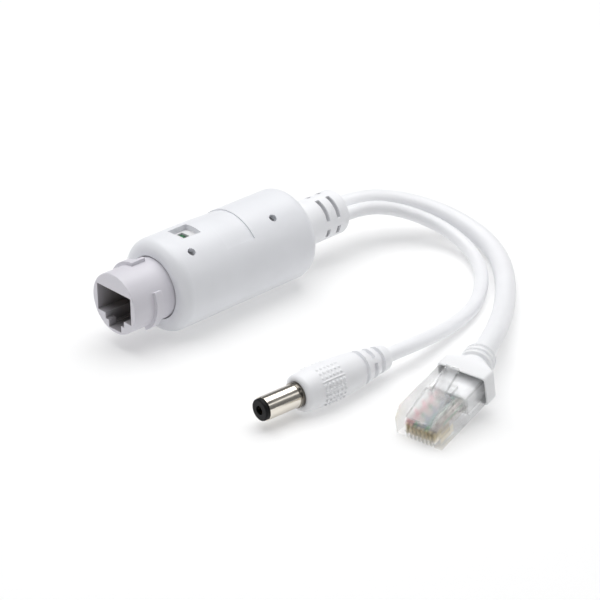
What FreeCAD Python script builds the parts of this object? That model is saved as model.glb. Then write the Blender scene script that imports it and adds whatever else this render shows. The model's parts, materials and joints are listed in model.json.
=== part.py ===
import FreeCAD, Part
import math
import os

# In-line PoE splitter: a round body with a modular jack at its front, a slotted strain
# relief at its rear, and two short pigtails side by side, one ending in a DC barrel plug
# and one in an 8P8C modular plug.
# Frame: +X runs along the body from the jack to the cords, +Z is up, and the origin lies
# under the middle of the body on the surface that it rests on.  Units are millimetres.

Vector = FreeCAD.Vector
os.makedirs("parts", exist_ok=True)

# ---- body -------------------------------------------------------------------------
BODY_R = 11.6
AXIS_Z = BODY_R
BODY_X = (-24.0, 19.2)
FRONT_ROUND = 2.7
REAR_ROUND = 2.4
SHELL_R = 10.25                      # outside of the inner shell, inside of the jacket
SHELL_T = 1.2
SHELL_X = (-21.8, 17.0)
WINDOW_X = (-17.3, -11.5)
WINDOW_Y = (-3.0, 2.4)
LIGHT_HOLE_X = (-15.2, -13.5)
LIGHT_HOLE_Y = (-1.1, 1.5)
PIN_HOLE_R = 1.0
PIN_HOLE_X = (-17.7, 8.3)
PIN_HOLE_ANGLE = 35.0                # from straight up, one hole on each side
LABEL_X = (-8.4, 0.4)
LABEL_DEPTH = 0.35
LABEL_HALF_ANGLE = 49.0

# ---- modular jack -----------------------------------------------------------------
JACK_R = 7.55
JACK_X = (-36.0, -18.6)
JACK_FLANGE_X = -20.5
JACK_FLANGE_R = 8.4
JACK_RIM_ROUND = 0.25
JACK_GAP = 0.3                       # ring gap between the jack and the jacket
MOUTH_HALF_W = 5.9
MOUTH_Z = (8.25, 15.05)
CAVITY_END_X = -23.0
KEY_HALF_W = (3.3, 2.15)             # wide upper step, narrow lower step
KEY_Z = (6.75, 5.0)
KEY_SHOULDER_X = -33.8               # the latch springs out behind this shoulder
KEY_END_X = -25.0
RIB_X = (-30.1, -28.1)
RIB_R = 8.45
RIBS = ((-66.5, -1.5), (64.5, 153.0), (190.0, 255.0))      # from straight up, towards -Y
STOP_END_X = -26.0
STOP_SPAN = 7.0
CHANNEL_HALF_W = 4.3                 # room above the cavity for the contacts
CHANNEL_TOP_Z = 15.95
REAR_HALF_W = 5.65                   # room behind the cavity for the carrier
CARRIER_HALF_W = 5.6
CARRIER_Z = (8.3, 15.85)
CARRIER_END_X = -13.0

# ---- contacts, pitch shared by the jack and the plug ------------------------------
PITCH = 1.02
CONTACTS = 8
WIRE_W = 0.46
WIRE_T = 0.30
CONTACT_Z = 15.35
CONTACT_FRONT_X = -31.5
TAIL_X = -12.65
KNUCKLE = (-31.8, 15.0)
KNUCKLE_R = 0.25
SPRING_LENGTH = 6.6
SPRING_SLOPE = 22.0

# ---- circuit boards, and what stands on them ----------------------------------------
BOARD_X = (-18.4, 13.8)
BOARD_HALF_W = 6.6
BOARD_Z = (6.4, 7.4)
LAMP_BOARD_X = (-18.2, -6.0)
LAMP_BOARD_HALF_W = 3.8
LAMP_BOARD_Z = (18.2, 19.0)
HEADER_X = -11.2
HEADER_Y = (-2.54, 0.0, 2.54)
HEADER_W = 0.5
HEADER_HOLE_R = 0.45
TAIL_HOLE_R = 0.4
SOLDERED_END = 0.5                   # how far a pin stands out past its board
LED_X = (-15.1, -13.6)
LED_Y = (-1.0, 1.4)
LED_TOP_Z = 21.3
LEAD_W = 0.4                         # gull-wing leads
LEAD_T = 0.2
LEAD_FOOT = 0.7
CHIP_GAP = 0.15                      # between a chip's body and its board
MAGNETICS = ((-9.9, 1.3), 3.4, 4.8, 5.4, 8)       # x, half body, half span, height, leads
BRIDGES = (((-10.4, -5.7), 1.4, 2.9, -2.3, 2), ((-4.6, 0.1), 1.4, 2.9, -2.3, 2))
CONTROLLER = ((1.6, 6.5), 1.95, 3.0, -1.6, 4)
CONVERTER = ((8.2, 11.1), 0.8, 1.4, -1.1, 4)
DIODE_X = (-17.9, -13.6)
DIODE_HALF_W = 1.3
DIODE_BOTTOM_Z = 4.2
CORE_X = (3.8, 6.8)
CORE_HALF_W = 5.2
CORE_Z = (8.0, 15.2)
CORE_WINDOW_Y = (1.5, 3.9)
CORE_WINDOW_Z = (9.3, 13.9)
BOBBIN_Z = (9.4, 13.8)
BOBBIN_FLANGE_T = 0.5
BOBBIN_FLANGE_R = 3.8
BOBBIN_HUB_R = 2.45
BOBBIN_HALF_L = 3.6
BOBBIN_LEG = (0.9, 2.5)              # length along x and half width
WINDING_R = 3.7
CAPACITOR_AT = (11.6, 4.1)
CAPACITOR_R = 1.9
CAPACITOR_FOOT_T = 0.7
CAPACITOR_H = 5.4
INDUCTOR_X = (9.8, 13.2)
INDUCTOR_Y = (-6.3, -3.5)
INDUCTOR_H = 2.1
INDUCTOR_GAP = 0.1                   # between its body and the board
TERMINAL_T = 0.3
TERMINAL_OUT = 0.2
TERMINAL_INSET = 0.6
TERMINAL_H = 1.4
CHIP_PARTS_X = (-9.0, -6.4, -3.8, -1.2)
CHIP_PART_SIZE = (1.6, 0.8, 0.5)
CHIP_PARTS_Y = 5.5

# ---- strain relief ----------------------------------------------------------------
RELIEF_R = 5.75
RELIEF_END_X = 36.0
RELIEF_NECK_R = 5.0
RELIEF_FLANGE_X = 14.3
RELIEF_FLANGE_R = 7.0
RELIEF_ROUND = 0.9
RELIEF_SLOTS_X = (28.4, 32.0)
RELIEF_SLOT_W = 1.2
RELIEF_SLOT_DEPTH = 1.4
RELIEF_SLOT_ANGLES = ((12.0, 77.0), (98.0, 122.0))
DATA_LEAD_D = 0.9
DATA_LEADS_Y = (-1.5, -0.5, 0.5, 1.5)
DATA_LEAD_ROWS = ((12.0, 10.6), (10.4, 12.0))      # height at the relief, x of the turn
POWER_LEAD_D = 1.1
POWER_LEAD_Y = -2.75
POWER_LEAD_ROWS = ((12.4, 10.6), (10.6, 12.3))

# ---- cords ------------------------------------------------------------------------
ETHERNET_D = 5.1
DC_D = 3.5
ETHERNET_ROUTE = [
    (36.0, 1.9, 11.0), (46.0, 1.9, 11.0), (56.6, -2.8, 8.9), (63.6, -11.8, 6.0),
    (64.7, -23.2, 3.7), (60.2, -34.2, 2.7), (50.0, -45.3, 2.6), (38.2, -54.6, 3.4),
    (27.4, -61.8, 5.6), (19.0, -67.2, 8.0), (10.1, -71.4, 8.1)]
DC_ROUTE = [
    (36.0, -2.5, 11.0), (44.0, -2.5, 11.0), (53.2, -6.6, 8.6), (58.7, -15.2, 5.4),
    (58.2, -25.5, 3.0), (52.3, -35.3, 2.0), (43.8, -42.6, 1.8), (35.2, -47.4, 1.8),
    (25.6, -49.9, 2.2), (16.7, -51.6, 3.4), (7.8, -52.8, 4.77), (-0.4, -52.21, 4.77)]

# ---- DC plug, distances from its tip ----------------------------------------------
BARREL_R = 2.75
BARREL_BORE_R = 2.2
BARREL_START = 1.0
BARREL_END = 14.0
COLLAR_START = 9.6
COLLAR_R = 2.95
BORE_END = 12.0
ROOT_HOLE = (11.0, 1.8)              # start and radius of the hole for the centre contact
GRIP_START = 10.7
PLUG_LENGTH = 36.7
DC_PLUG_ROLL = -38.0                 # about its own axis
INSULATOR_R = 2.55
INSULATOR_ROUND = 0.35
PIN_BORE_R = 1.05
PIN_BORE_DEPTH = 9.5
PIN_R = 1.5
PIN_X = (0.6, 16.0)
TAB_BARREL = ((14.0, 19.0), 1.0, (1.9, 2.3))       # x, half width, z
TAB_PIN = ((16.0, 19.5), 0.8, (-0.2, 0.2))
PLUG_WIRE_R = 0.6
PLUG_WIRE_X = (19.6, 35.2)
PLUG_WIRES_Z = (0.75, -0.75)
GRIP_PROFILE = [(11.75, 4.42), (14.6, 4.70), (18.6, 4.75), (22.6, 4.62), (25.6, 4.40),
                (28.9, 4.00), (31.6, 3.57), (34.6, 3.15), (36.0, 2.93)]
GRIP_FACE_R = 3.35
GRIP_SHOULDER = (11.03, 4.08)
GRIP_TAIL = (36.48, 2.72)
GRIP_END_R = 2.3
GRIP_RINGS = (28.2, 33.5)
GRIP_SPLIT_RING = 31.0
GRIP_RING_W = 1.3
GRIP_RING_DEPTH = 0.75
GRIP_BRIDGE_HALF_W = 0.7             # what joins the two halves of the split ring

# ---- 8P8C plug, own frame: nose-bottom middle, +X to the cord, +Z to the latch -----
PLUG_BASE = (-16.0, -77.3, 0.02)
PLUG_YAW = 7.8
PLUG_PITCH = 12.0                    # nose down, cord side up
PLUG_W = 11.68
PLUG_L = 20.4
PLUG_H = 6.65
NOSE_H = 4.4
NOSE_RUN = 2.0
BLADE_X = (0.9, 6.2)
BLADE_Z = (0.4, 2.9)
BLADE_T = 0.32
SLOT_W = 0.52
SLOT_DEPTH = 1.5
WIRES_X = (1.5, 11.5)
DUCT = ((9.0, 11.6), 4.2, (2.5, 3.5))              # x, half width, z
POCKET = ((11.5, 21.4), 4.75, (0.9, 5.35))
CORD_END = ((11.6, 20.4), 4.6, (1.0, 5.25))
CORD_END_ROUND = 2.0
LATCH_ROOMS = (((-1.0, 9.0), 6.7, 4.75), ((8.9, 13.2), 3.8, 5.7))    # x, width, floor
CONDUCTOR_D = 0.94
CONDUCTOR_Z = 3.0
LATCH_ROOT = (0.9, 5.55)             # middle of the flexing root, x and z
LATCH_SLOPES = (14.5, 22.0)          # wide length, then the tail
LATCH_WIDE = 6.2
LATCH_NARROW = 3.3
LATCH_LENGTHS = (7.8, 6.7)
LATCH_T = 1.0
BOOT_X = (17.2, 20.6, 22.0)
BOOT_MARGIN = 0.5
BOOT_CORNERS = (0.8, 1.6)
BOOT_BACK = (4.4, (-0.3, 7.1))       # half width and z limits where the hood ends
NECK_LENGTH = 7.4
NECK_R = (4.3, 3.8)
NECK_RINGS = (1.2, 3.3, 5.4)         # groove middles, from the cord end of the neck
NECK_RING_W = 0.7
NECK_RING_R = 3.3
CUTTER_SPARE = 0.1                   # how far a ring cutter reaches past the neck


# ---- small helpers ----------------------------------------------------------------
def box(x, y, z):
    """A block between pairs of limits."""
    size = (x[1] - x[0], y[1] - y[0], z[1] - z[0])
    return Part.makeBox(size[0], size[1], size[2], Vector(x[0], y[0], z[0]))


def rod(x, r, y=0.0, z=AXIS_Z):
    """A cylinder along X between two X limits."""
    return Part.makeCylinder(r, x[1] - x[0], Vector(x[0], y, z), Vector(1, 0, 0))


def post(x, y, z, r):
    """An upright cylinder between two Z limits."""
    return Part.makeCylinder(r, z[1] - z[0], Vector(x, y, z[0]))


def fuse(shapes):
    """Shapes joined into one, with seams removed."""
    first = shapes[0]
    if len(shapes) > 1:
        first = first.fuse(shapes[1:])
    return first.removeSplitter()


def sector(x, r, angles):
    """A piece of a ring about the body's axis; angles run from straight up towards -Y."""
    start, end = angles
    ring = rod(x, r[1]).cut(rod(x, r[0]))
    reach = 2.0 * r[1]
    steps = max(2, int(math.ceil((end - start) / 60.0)) + 1)
    corners = [Vector(x[0], 0, AXIS_Z)]
    for step in range(steps):
        angle = math.radians(start + (end - start) * step / (steps - 1))
        corners.append(Vector(x[0], -reach * math.sin(angle), AXIS_Z + reach * math.cos(angle)))
    corners.append(corners[0])
    wedge = Part.Face(Part.makePolygon(corners)).extrude(Vector(x[1] - x[0], 0, 0))
    return ring.common(wedge)


def round_rims(shape, radius, places):
    """Round the circular edges about an X axis at the given (x, r) places."""
    picked = []
    for edge in shape.Edges:
        if not isinstance(edge.Curve, Part.Circle):
            continue
        for x, r in places:
            at_x = abs(edge.Curve.Center.x - x) < 1e-3
            if at_x and abs(edge.Curve.Radius - r) < 1e-3:
                picked.append(edge)
    return shape.makeFillet(radius, picked)


def contact_rows():
    """The Y places of the eight contacts."""
    return [PITCH * (i - (CONTACTS - 1) / 2.0) for i in range(CONTACTS)]


def tube(points, diameter, report=None):
    """A round tube along straight runs joined by tangent arcs."""
    pts = [Vector(*p) for p in points]
    edges = []
    start = pts[0]
    radii = []
    for before, here, after in zip(pts, pts[1:], pts[2:]):
        into = (here - before).normalize()
        out = (after - here).normalize()
        turn = into.getAngle(out)
        shorter = min((here - before).Length, (after - here).Length)
        radius = 0.45 * shorter / math.tan(turn / 2.0)
        radii.append(radius)
        first = here - into * (0.45 * shorter)
        last = here + out * (0.45 * shorter)
        inward = (out - into).normalize()
        middle = here + inward * (radius / math.cos(turn / 2.0) - radius)
        edges.append(Part.LineSegment(start, first).toShape())
        edges.append(Part.Arc(first, middle, last).toShape())
        start = last
    edges.append(Part.LineSegment(start, pts[-1]).toShape())
    path = Part.Wire(edges)
    ring = Part.Wire([Part.makeCircle(diameter / 2.0, pts[0], pts[1] - pts[0])])
    solid = path.makePipeShell([ring], True, False)
    if report:
        section = math.pi * diameter * diameter / 4.0
        print(report, "length %.1f" % path.Length,
              "volume / (section x length) %.4f" % (solid.Volume / (section * path.Length)),
              "radii", [round(r, 1) for r in radii])
    return solid


def save(name, shapes):
    """Write one node; a list is kept as a group of separate solids."""
    solids = []
    for shape in shapes if isinstance(shapes, list) else [shapes]:
        solids.extend(shape.Solids)
    for solid in solids:
        if not solid.isValid() or solid.Volume <= 0:
            raise ValueError("bad solid in " + name)
    node = solids[0] if len(solids) == 1 else Part.makeCompound(solids)
    node.exportStep("parts/" + name + ".step")
    print(name, len(solids), "%.1f mm3" % sum(s.Volume for s in solids))


# ---- body shells ------------------------------------------------------------------
def outer_jacket():
    """The soft moulded skin with its window, label recess and mould-pin holes."""
    skin = rod(BODY_X, BODY_R)
    skin = round_rims(skin, FRONT_ROUND, [(BODY_X[0], BODY_R)])
    skin = round_rims(skin, REAR_ROUND, [(BODY_X[1], BODY_R)])
    skin = skin.cut(rod(SHELL_X, SHELL_R))
    skin = skin.cut(rod((BODY_X[0] - 1, SHELL_X[0] + 1), JACK_R + JACK_GAP))
    skin = skin.cut(rod((SHELL_X[1] - 1, BODY_X[1] + 1), RELIEF_NECK_R))
    skin = skin.cut(box(WINDOW_X, WINDOW_Y, (AXIS_Z + SHELL_R - 2, AXIS_Z + BODY_R + 1)))
    for x in PIN_HOLE_X:
        for side in (-1, 1):
            skin = skin.cut(pin_hole(x, side))
    return skin.cut(label_recess())


def pin_hole(x, side):
    """A radial cutter for one mould-pin hole, as deep as the skin."""
    angle = math.radians(PIN_HOLE_ANGLE)
    out = Vector(0, side * math.sin(angle), math.cos(angle))
    base = Vector(x, 0, AXIS_Z) + out * (SHELL_R - 0.5)
    return Part.makeCylinder(PIN_HOLE_R, BODY_R - SHELL_R + 2, base, out)


def label_recess():
    """A shallow ramp around the top, deepest at its rear edge."""
    length = LABEL_X[1] - LABEL_X[0]
    ring = sector(LABEL_X, (BODY_R - 2, BODY_R + 1), (-LABEL_HALF_ANGLE, LABEL_HALF_ANGLE))
    floor = Part.makeCone(BODY_R, BODY_R - LABEL_DEPTH, length,
                          Vector(LABEL_X[0], 0, AXIS_Z), Vector(1, 0, 0))
    return ring.cut(floor)


def inner_shells():
    """The rigid inner shell, split level through its axis."""
    hollow = (SHELL_X[0] + SHELL_T + 0.1, SHELL_X[1] - SHELL_T)
    shell = rod(SHELL_X, SHELL_R).cut(rod(hollow, SHELL_R - SHELL_T))
    shell = shell.cut(rod((SHELL_X[0] - 1, SHELL_X[0] + 2), JACK_R + 0.05))
    shell = shell.cut(rod((SHELL_X[1] - 2, SHELL_X[1] + 1), RELIEF_NECK_R))
    reach = (SHELL_X[0] - 1, SHELL_X[1] + 1)
    across = (-SHELL_R - 1, SHELL_R + 1)
    top = shell.common(box(reach, across, (AXIS_Z, AXIS_Z + SHELL_R + 1)))
    bottom = shell.common(box(reach, across, (AXIS_Z - SHELL_R - 1, AXIS_Z)))
    top = top.cut(box(LIGHT_HOLE_X, LIGHT_HOLE_Y, (AXIS_Z + 5, AXIS_Z + SHELL_R + 1)))
    return top, bottom


# ---- modular jack -----------------------------------------------------------------
def jack_housing():
    """The jack's moulded barrel: cavity, latch keyway, bayonet ribs and inner flange."""
    barrel = rod(JACK_X, JACK_R)
    barrel = round_rims(barrel, JACK_RIM_ROUND, [(JACK_X[0], JACK_R)])
    parts = [barrel, rod((JACK_FLANGE_X, JACK_X[1]), JACK_FLANGE_R)]
    rib_reach = (JACK_R - 0.4, RIB_R)
    for span in RIBS:
        parts.append(sector(RIB_X, rib_reach, span))
    stop_angle = RIBS[0][1]
    parts.append(sector((RIB_X[0], STOP_END_X), rib_reach, (stop_angle - STOP_SPAN, stop_angle)))
    housing = fuse(parts)
    half = (-MOUTH_HALF_W, MOUTH_HALF_W)
    wide = (-KEY_HALF_W[0], KEY_HALF_W[0])
    narrow = (-KEY_HALF_W[1], KEY_HALF_W[1])
    outside = JACK_X[0] - 1
    behind = JACK_X[1] + 1
    cutters = [
        box((outside, CAVITY_END_X), half, MOUTH_Z),
        box((outside, KEY_END_X), wide, (KEY_Z[0], MOUTH_Z[0] + 0.1)),
        box((outside, KEY_END_X), narrow, (KEY_Z[1], KEY_Z[0] + 0.1)),
        box((KEY_SHOULDER_X, KEY_END_X), wide, (KEY_Z[1] + 0.4, KEY_Z[0] + 0.1)),
        box((KNUCKLE[0] - 0.6, behind), (-CHANNEL_HALF_W, CHANNEL_HALF_W),
            (MOUTH_Z[1] - 0.1, CHANNEL_TOP_Z)),
        box((CAVITY_END_X, behind), (-REAR_HALF_W, REAR_HALF_W), (MOUTH_Z[0], CHANNEL_TOP_Z))]
    for cutter in cutters:
        housing = housing.cut(cutter)
    return housing


def jack_contact_carrier():
    """The block behind the cavity, with a groove for each contact."""
    half = (-CARRIER_HALF_W, CARRIER_HALF_W)
    front = box((CAVITY_END_X + 0.05, JACK_X[1]), half, CARRIER_Z)
    rear = box((JACK_X[1], CARRIER_END_X), half, (BOARD_Z[1], CARRIER_Z[1]))
    block = fuse([front, rear])
    for y in contact_rows():
        groove = box((CAVITY_END_X - 1, CARRIER_END_X + 1), (y - WIRE_W / 2, y + WIRE_W / 2),
                     (CONTACT_Z, CARRIER_Z[1] + 1))
        block = block.cut(groove)
    return block


def jack_contact_tails():
    """The fixed length of each contact: along the roof, then down to the board."""
    tails = []
    top = CONTACT_Z + WIRE_T
    for y in contact_rows():
        across = (y - WIRE_W / 2, y + WIRE_W / 2)
        roof = box((CONTACT_FRONT_X, TAIL_X), across, (CONTACT_Z, top))
        drop = box((TAIL_X - WIRE_T, TAIL_X), across, (BOARD_Z[0] - SOLDERED_END, top))
        tails.append(fuse([roof, drop]))
    return tails


def jack_contact_springs():
    """The springy length of each contact, folded back down into the cavity."""
    springs = []
    for y in contact_rows():
        pivot = Vector(KNUCKLE[0], y - WIRE_W / 2, KNUCKLE[1])
        knuckle = Part.makeCylinder(KNUCKLE_R, WIRE_W, pivot, Vector(0, 1, 0))
        arm = Part.makeBox(SPRING_LENGTH, WIRE_W, WIRE_T,
                           pivot + Vector(0, 0, -WIRE_T / 2))
        arm.rotate(pivot, Vector(0, 1, 0), SPRING_SLOPE)
        springs.append(fuse([knuckle, arm]))
    return springs


# ---- electronics ------------------------------------------------------------------
def main_board():
    """The main circuit board, drilled for the contacts and the header."""
    board = box(BOARD_X, (-BOARD_HALF_W, BOARD_HALF_W), BOARD_Z)
    through = (BOARD_Z[0] - 1, BOARD_Z[1] + 1)
    for y in contact_rows():
        board = board.cut(post(TAIL_X - WIRE_T / 2, y, through, TAIL_HOLE_R))
    for y in HEADER_Y:
        board = board.cut(post(HEADER_X, y, through, HEADER_HOLE_R))
    return board


def lamp_board():
    """The small board under the window that carries the status lamp."""
    board = box(LAMP_BOARD_X, (-LAMP_BOARD_HALF_W, LAMP_BOARD_HALF_W), LAMP_BOARD_Z)
    through = (LAMP_BOARD_Z[0] - 1, LAMP_BOARD_Z[1] + 1)
    for y in HEADER_Y:
        board = board.cut(post(HEADER_X, y, through, HEADER_HOLE_R))
    return board


def status_led():
    """The status lamp on the lamp board, a tall lens that fills the light hole."""
    return box(LED_X, LED_Y, (LAMP_BOARD_Z[1], LED_TOP_Z))


def header_pins():
    """Three square pins that join the two boards."""
    half = HEADER_W / 2
    reach = (BOARD_Z[0] - SOLDERED_END, LAMP_BOARD_Z[1] + 0.4)
    pins = []
    for y in HEADER_Y:
        pins.append(box((HEADER_X - half, HEADER_X + half), (y - half, y + half), reach))
    return pins


def gull_wing(x, half_body, half_span, height, leads):
    """A chip with its leads; a negative height hangs it under the main board."""
    up = 1.0 if height > 0 else -1.0
    board_z = BOARD_Z[1] if height > 0 else BOARD_Z[0]
    arm_top = 0.45 * height + LEAD_T * up
    outer = half_span - LEAD_FOOT
    inner = outer + LEAD_T

    def level(low, high):
        return tuple(sorted((board_z + low, board_z + high)))

    pieces = [box(x, (-half_body, half_body), level(CHIP_GAP * up, height))]
    step = (x[1] - x[0]) / leads
    for i in range(leads):
        middle = x[0] + step * (i + 0.5)
        along = (middle - LEAD_W / 2, middle + LEAD_W / 2)
        for side in (-1, 1):
            arm = tuple(sorted((side * (half_body - 0.1), side * inner)))
            leg = tuple(sorted((side * outer, side * inner)))
            foot = tuple(sorted((side * outer, side * half_span)))
            pieces.append(box(along, arm, level(0.45 * height, arm_top)))
            pieces.append(box(along, leg, level(0.0, arm_top)))
            pieces.append(box(along, foot, level(0.0, LEAD_T * up)))
    return fuse(pieces)


def transformer():
    """Core, bobbin and winding of the power transformer."""
    x = (CORE_X[0] + CORE_X[1]) / 2
    core = box(CORE_X, (-CORE_HALF_W, CORE_HALF_W), CORE_Z)
    for side in (-1, 1):
        window_y = tuple(sorted((side * CORE_WINDOW_Y[0], side * CORE_WINDOW_Y[1])))
        core = core.cut(box((CORE_X[0] - 1, CORE_X[1] + 1), window_y, CORE_WINDOW_Z))
    low, high = BOBBIN_Z
    length = (x - BOBBIN_HALF_L, x + BOBBIN_HALF_L)
    leg_l, leg_half = BOBBIN_LEG
    bobbin = fuse([
        box(length, (-BOBBIN_FLANGE_R, BOBBIN_FLANGE_R), (low, low + BOBBIN_FLANGE_T)),
        post(x, 0, (high - BOBBIN_FLANGE_T, high), BOBBIN_FLANGE_R),
        post(x, 0, BOBBIN_Z, BOBBIN_HUB_R),
        box((length[0], length[0] + leg_l), (-leg_half, leg_half), (BOARD_Z[1], low + 0.1)),
        box((length[1] - leg_l, length[1]), (-leg_half, leg_half), (BOARD_Z[1], low + 0.1))])
    core_half_t = (CORE_X[1] - CORE_X[0]) / 2 + 0.02
    middle_leg = CORE_WINDOW_Y[0] + 0.02
    bobbin = bobbin.cut(box((x - core_half_t, x + core_half_t), (-middle_leg, middle_leg),
                            (BOARD_Z[1], CORE_Z[1] + 1)))
    winding = post(x, 0, (low + BOBBIN_FLANGE_T, high - BOBBIN_FLANGE_T), WINDING_R)
    winding = winding.cut(post(x, 0, (low - 1, high + 1), BOBBIN_HUB_R))
    return core, bobbin, winding


def capacitor():
    """A small upright electrolytic on its square foot."""
    x, y = CAPACITOR_AT
    half = CAPACITOR_R
    foot_top = BOARD_Z[1] + CAPACITOR_FOOT_T
    foot = box((x - half - 0.1, x + half + 0.1), (y - half, y + half), (BOARD_Z[1], foot_top))
    can = post(x, y, (foot_top, BOARD_Z[1] + CAPACITOR_H), CAPACITOR_R)
    return fuse([foot, can])


def inductor():
    """A moulded power inductor with a terminal at each end."""
    body_z = (BOARD_Z[1] + INDUCTOR_GAP, BOARD_Z[1] + INDUCTOR_H)
    across = (INDUCTOR_Y[0] + TERMINAL_INSET, INDUCTOR_Y[1] - TERMINAL_INSET)
    outer = (INDUCTOR_X[0] - TERMINAL_OUT, INDUCTOR_X[1] + TERMINAL_OUT)
    pieces = [box(INDUCTOR_X, INDUCTOR_Y, body_z)]
    for x in ((outer[0], outer[0] + TERMINAL_T), (outer[1] - TERMINAL_T, outer[1])):
        pieces.append(box(x, across, (BOARD_Z[1], BOARD_Z[1] + TERMINAL_H)))
    return fuse(pieces)


def chip_parts():
    """Small resistors and capacitors along both edges of the main board."""
    length, width, height = CHIP_PART_SIZE
    chips = []
    for side in (-1, 1):
        across = tuple(sorted((side * CHIP_PARTS_Y, side * (CHIP_PARTS_Y + width))))
        for x in CHIP_PARTS_X:
            chips.append(box((x, x + length), across, (BOARD_Z[1], BOARD_Z[1] + height)))
    return chips


def bent_lead(y, diameter, level, turn_x):
    """A lead from the strain relief that turns down to the board."""
    points = [(RELIEF_FLANGE_X, y, level), (turn_x, y, level), (turn_x, y, BOARD_Z[1])]
    return tube(points, diameter)


def cord_leads():
    """The eight data leads and the two power leads inside the body."""
    data = []
    for y in DATA_LEADS_Y:
        for level, turn_x in DATA_LEAD_ROWS:
            data.append(bent_lead(y, DATA_LEAD_D, level, turn_x))
    power = []
    for level, turn_x in POWER_LEAD_ROWS:
        power.append(bent_lead(POWER_LEAD_Y, POWER_LEAD_D, level, turn_x))
    return data, power


# ---- strain relief ----------------------------------------------------------------
def cable_strain_relief():
    """The slotted relief that both cords leave from, with its flange inside the body."""
    outside = rod((BODY_X[1], RELIEF_END_X), RELIEF_R)
    outside = round_rims(outside, RELIEF_ROUND, [(RELIEF_END_X, RELIEF_R)])
    neck = rod((SHELL_X[1] - SHELL_T, BODY_X[1]), RELIEF_NECK_R)
    flange = rod((RELIEF_FLANGE_X, SHELL_X[1] - SHELL_T), RELIEF_FLANGE_R)
    relief = fuse([outside, neck, flange])
    slot_reach = (RELIEF_R - RELIEF_SLOT_DEPTH, RELIEF_R + 1)
    for x in RELIEF_SLOTS_X:
        width = (x - RELIEF_SLOT_W / 2, x + RELIEF_SLOT_W / 2)
        for low, high in RELIEF_SLOT_ANGLES:
            relief = relief.cut(sector(width, slot_reach, (low, high)))
            relief = relief.cut(sector(width, slot_reach, (-high, -low)))
    return relief


# ---- DC plug ----------------------------------------------------------------------
def dc_plug_frame():
    """The plug's own frame: its tip, with +X towards the cord."""
    end = Vector(*DC_ROUTE[-1])
    to_cord = (Vector(*DC_ROUTE[-2]) - end).normalize()
    yaw = math.degrees(math.atan2(to_cord.y, to_cord.x))
    tip = end - to_cord * PLUG_LENGTH
    turn = FreeCAD.Rotation(Vector(0, 0, 1), yaw)
    roll = FreeCAD.Rotation(Vector(1, 0, 0), DC_PLUG_ROLL)
    return FreeCAD.Placement(tip, turn.multiply(roll))


def local_rod(x, r):
    """A cylinder about the DC plug's own axis."""
    return rod(x, r, 0.0, 0.0)


def dc_plug():
    """Barrel, insulator, centre contact, solder tabs, conductors and moulded grip."""
    insulator = local_rod((0.0, BARREL_START), INSULATOR_R)
    insulator = round_rims(insulator, INSULATOR_ROUND, [(0.0, INSULATOR_R)])
    insulator = fuse([insulator, local_rod((BARREL_START, BORE_END), BARREL_BORE_R)])
    insulator = insulator.cut(local_rod((-1.0, PIN_X[0] + 0.4), PIN_BORE_R))
    insulator = insulator.cut(local_rod((PIN_X[0], BORE_END + 1), PIN_R))
    outside = [local_rod((BARREL_START, COLLAR_START), BARREL_R),
               local_rod((COLLAR_START, BARREL_END), COLLAR_R)]
    barrel = fuse(outside).cut(local_rod((BARREL_START - 1, BORE_END), BARREL_BORE_R))
    barrel = barrel.cut(local_rod((ROOT_HOLE[0], BARREL_END + 1), ROOT_HOLE[1]))
    contact = local_rod(PIN_X, PIN_R).cut(local_rod((-1.0, PIN_BORE_DEPTH), PIN_BORE_R))
    tabs = []
    for x, half, z in (TAB_BARREL, TAB_PIN):
        tabs.append(box(x, (-half, half), z))
    wires = []
    for z in PLUG_WIRES_Z:
        wires.append(rod(PLUG_WIRE_X, PLUG_WIRE_R, 0.0, z))
    grip = dc_plug_grip()
    root = local_rod((GRIP_START - 1, BARREL_END), COLLAR_R)
    for inner in [root, contact] + tabs + wires:
        grip = grip.cut(inner)
    pieces = {"dc_plug_grip": [grip], "dc_plug_barrel": [barrel],
              "dc_plug_insulator": [insulator], "dc_plug_center_contact": [contact],
              "dc_plug_solder_tabs": tabs, "dc_plug_conductors": wires}
    return placed(pieces, dc_plug_frame())


def placed(pieces, placement):
    """The same pieces, moved from their own frame to where they lie."""
    for solids in pieces.values():
        for solid in solids:
            solid.Placement = placement.multiply(solid.Placement)
    return pieces


def dc_plug_grip():
    """The moulded grip: a swelling profile, two ring grooves and a split one."""
    outline = [Vector(x, 0, r) for x, r in GRIP_PROFILE]
    curve = Part.BSplineCurve()
    curve.interpolate(outline)
    face_edge = Vector(GRIP_START, 0, GRIP_FACE_R)
    cord_edge = Vector(PLUG_LENGTH, 0, GRIP_END_R)
    shoulder = Part.Arc(face_edge, Vector(GRIP_SHOULDER[0], 0, GRIP_SHOULDER[1]), outline[0])
    tail = Part.Arc(outline[-1], Vector(GRIP_TAIL[0], 0, GRIP_TAIL[1]), cord_edge)
    axis = [Vector(PLUG_LENGTH, 0, 0), Vector(GRIP_START, 0, 0)]
    edges = [shoulder.toShape(), curve.toShape(), tail.toShape(),
             Part.makeLine(cord_edge, axis[0]), Part.makeLine(axis[0], axis[1]),
             Part.makeLine(axis[1], face_edge)]
    grip = Part.Face(Part.Wire(edges)).revolve(Vector(0, 0, 0), Vector(1, 0, 0), 360)
    outside = max(r for x, r in GRIP_PROFILE) + 1
    bridge = (-GRIP_BRIDGE_HALF_W, GRIP_BRIDGE_HALF_W)
    for x in GRIP_RINGS + (GRIP_SPLIT_RING,):
        reach = (x - GRIP_RING_W / 2, x + GRIP_RING_W / 2)
        ring = local_rod(reach, outside).cut(local_rod(reach, grip_radius(x) - GRIP_RING_DEPTH))
        if x == GRIP_SPLIT_RING:
            ring = ring.cut(box(reach, (-outside, outside), bridge))
        grip = grip.cut(ring)
    return grip


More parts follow.
